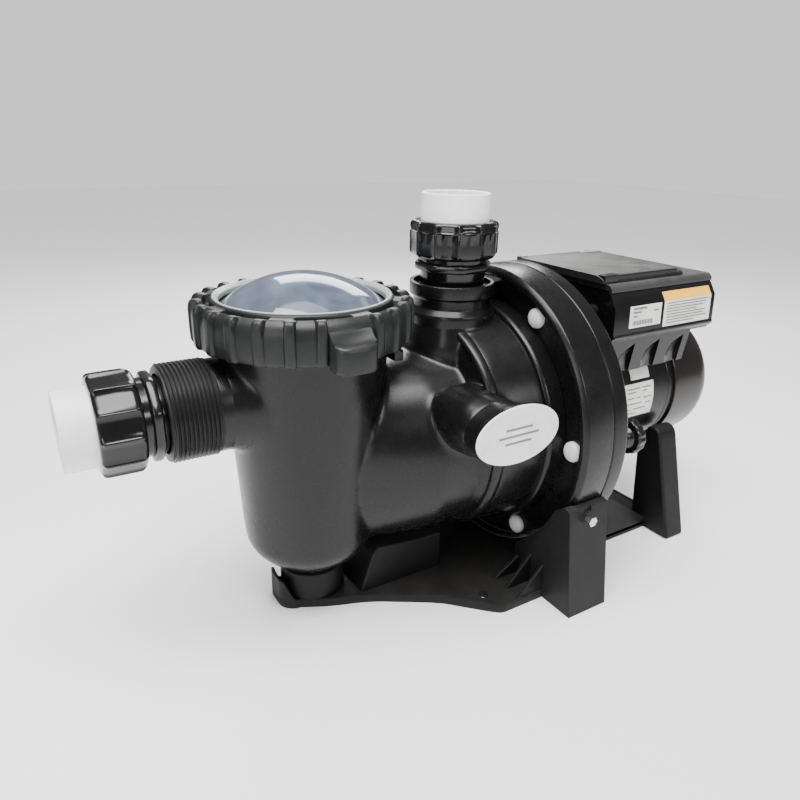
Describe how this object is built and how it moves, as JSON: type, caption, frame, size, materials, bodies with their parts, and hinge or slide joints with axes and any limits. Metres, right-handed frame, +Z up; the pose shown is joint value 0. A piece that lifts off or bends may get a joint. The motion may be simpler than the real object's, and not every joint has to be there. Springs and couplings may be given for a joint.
{
  "type": "pool pump",
  "caption": "Pool circulation pump: strainer pot with clear lid and lock ring, volute housing, motor with electronic drive, union couplings and moulded base.",
  "frame": {"origin": "on the floor under the middle of the whole pump, on the shaft's vertical plane", "axes": "+X along the shaft from the suction union to the motor, +Z up, -Y towards the side with the oval badge"},
  "size_m": [0.751, 0.3612, 0.4144],
  "materials": {
    "body_plastic": "satin black moulded plastic",
    "ring_plastic": "fine grained charcoal plastic",
    "union_plastic": "gloss black plastic",
    "knob_plastic": "satin black plastic",
    "base_plastic": "matt black-brown plastic",
    "inner_plastic": "glass-filled black plastic",
    "basket_plastic": "grey plastic",
    "drive_plastic": "gloss black plastic",
    "cover_plastic": "polished dark plastic",
    "white_pipe": "white pipe plastic",
    "badge_white": "glossy white, blank",
    "bolt_cap": "pale grey caps on steel bolts",
    "clear_lid": "clear moulded plastic",
    "seal_rubber": "black rubber",
    "motor_paint": "gloss black-brown paint",
    "cast_aluminium": "cast aluminium",
    "steel": "plain steel",
    "lamination": "stacked steel sheet",
    "copper": "varnished copper wire",
    "ceramic": "lapped ceramic",
    "board": "circuit board",
    "button": "soft blue keys",
    "label": "printed foil, blank"
  },
  "bodies": {
    "pump_body": {"badge": "badge_white", "base": "base_plastic", "cover_hinge_pin": "steel", "diffuser": "inner_plastic", "discharge_adapter": "union_plastic", "discharge_oring": "seal_rubber", "drive_board": "board", "drive_housing": "drive_plastic", "drive_top": "drive_plastic", "end_bell": "motor_paint", "flange_bolt_1": "bolt_cap", "flange_bolt_2": "bolt_cap", "flange_bolt_3": "bolt_cap", "flange_bolt_4": "bolt_cap", "flange_bolt_5": "bolt_cap", "flange_bolt_6": "bolt_cap", "front_bearing": "steel", "housing": "body_plastic", "housing_oring": "seal_rubber", "leg_screw_left": "steel", "leg_screw_right": "steel", "lid_oring": "seal_rubber", "motor_bracket": "cast_aluminium", "motor_nameplate": "label", "motor_shell": "motor_paint", "rear_bearing": "steel", "seal_plate": "body_plastic", "seal_seat": "ceramic", "stator_core": "lamination", "suction_adapter": "union_plastic", "suction_oring": "seal_rubber", "winding_front": "copper", "winding_rear": "copper"},
    "lid": {"lid_dome": "clear_lid"},
    "lock_ring": {"lock_ring": "ring_plastic"},
    "basket": {"strainer_basket": "basket_plastic"},
    "rotor": {"shaft": "steel", "impeller": "inner_plastic", "impeller_screw": "steel", "seal_head": "seal_rubber", "rotor_core": "lamination", "cooling_fan": "basket_plastic"},
    "suction_tail": {"suction_tail": "white_pipe"},
    "suction_nut": {"suction_nut": "union_plastic"},
    "discharge_tail": {"discharge_tail": "white_pipe"},
    "discharge_nut": {"discharge_nut": "union_plastic"},
    "flip_cover": {"flip_cover": "cover_plastic"},
    "pot_plug": {"pot_drain_plug": "body_plastic"},
    "volute_plug": {"volute_drain_plug": "body_plastic"},
    "button_1": {"speed_button_1": "button"},
    "button_2": {"speed_button_2": "button"},
    "button_3": {"speed_button_3": "button"},
    "button_4": {"speed_button_4": "button"},
    "knob_1": {"flange_knob_1": "knob_plastic"},
    "knob_2": {"flange_knob_2": "knob_plastic"},
    "knob_3": {"flange_knob_3": "knob_plastic"},
    "knob_4": {"flange_knob_4": "knob_plastic"},
    "knob_5": {"flange_knob_5": "knob_plastic"},
    "knob_6": {"flange_knob_6": "knob_plastic"}
  },
  "joints": [
    {"name": "lid_lift", "type": "slide", "parent": "pump_body", "child": "lid", "axis": [0, 0, 1], "range_m": [0, 0.36]},
    {"name": "ring_turn", "type": "hinge", "parent": "lid", "child": "lock_ring", "pos_m": [-0.1545, 0, 0.305], "axis": [0, 0, 1], "range_deg": [0, 90]},
    {"name": "basket_lift", "type": "slide", "parent": "pump_body", "child": "basket", "axis": [0, 0, 1], "range_m": [0, 0.288]},
    {"name": "rotor_spin", "type": "hinge", "parent": "pump_body", "child": "rotor", "pos_m": [0.1045, 0, 0.172], "axis": [1, 0, 0], "continuous": true},
    {"name": "suction_tail_slide", "type": "slide", "parent": "pump_body", "child": "suction_tail", "axis": [-1, 0, 0], "range_m": [0, 0.06]},
    {"name": "suction_nut_turn", "type": "hinge", "parent": "suction_tail", "child": "suction_nut", "pos_m": [-0.33025, 0, 0.2344], "axis": [-1, 0, 0], "continuous": true},
    {"name": "discharge_tail_slide", "type": "slide", "parent": "pump_body", "child": "discharge_tail", "axis": [0, 0, 1], "range_m": [0, 0.06]},
    {"name": "discharge_nut_turn", "type": "hinge", "parent": "discharge_tail", "child": "discharge_nut", "pos_m": [0.0145, 0, 0.369], "axis": [0, 0, 1], "continuous": true},
    {"name": "flip_cover_hinge", "type": "hinge", "parent": "pump_body", "child": "flip_cover", "pos_m": [0.2235, 0.067, 0.3262], "axis": [-1, 0, 0], "range_deg": [0, 110]},
    {"name": "pot_plug_turn", "type": "hinge", "parent": "pump_body", "child": "pot_plug", "pos_m": [-0.1545, 0.074, 0.1], "axis": [0, 1, 0], "continuous": true},
    {"name": "volute_plug_turn", "type": "hinge", "parent": "pump_body", "child": "volute_plug", "pos_m": [0.0345, 0.092, 0.078], "axis": [0, 1, 0], "continuous": true},
    {"name": "button_1_press", "type": "slide", "parent": "pump_body", "child": "button_1", "axis": [0, 0, -1], "range_m": [0, 0.001], "stiffness_N_per_m": 300},
    {"name": "button_2_press", "type": "slide", "parent": "pump_body", "child": "button_2", "axis": [0, 0, -1], "range_m": [0, 0.001], "stiffness_N_per_m": 300},
    {"name": "button_3_press", "type": "slide", "parent": "pump_body", "child": "button_3", "axis": [0, 0, -1], "range_m": [0, 0.001], "stiffness_N_per_m": 300},
    {"name": "button_4_press", "type": "slide", "parent": "pump_body", "child": "button_4", "axis": [0, 0, -1], "range_m": [0, 0.001], "stiffness_N_per_m": 300},
    {"name": "knob_1_turn", "type": "hinge", "parent": "pump_body", "child": "knob_1", "pos_m": [0.1545, -0.0705, 0.29411], "axis": [1, 0, 0], "continuous": true},
    {"name": "knob_2_turn", "type": "hinge", "parent": "pump_body", "child": "knob_2", "pos_m": [0.1545, -0.141, 0.172], "axis": [1, 0, 0], "continuous": true},
    {"name": "knob_3_turn", "type": "hinge", "parent": "pump_body", "child": "knob_3", "pos_m": [0.1545, -0.0705, 0.04989], "axis": [1, 0, 0], "continuous": true},
    {"name": "knob_4_turn", "type": "hinge", "parent": "pump_body", "child": "knob_4", "pos_m": [0.1545, 0.0705, 0.04989], "axis": [1, 0, 0], "continuous": true},
    {"name": "knob_5_turn", "type": "hinge", "parent": "pump_body", "child": "knob_5", "pos_m": [0.1545, 0.141, 0.172], "axis": [1, 0, 0], "continuous": true},
    {"name": "knob_6_turn", "type": "hinge", "parent": "pump_body", "child": "knob_6", "pos_m": [0.1545, 0.0705, 0.29411], "axis": [1, 0, 0], "continuous": true}
  ],
  "couplings": [
    {"joint": "basket_lift", "follows": "lid_lift", "ratio": 0.8}
  ]
}
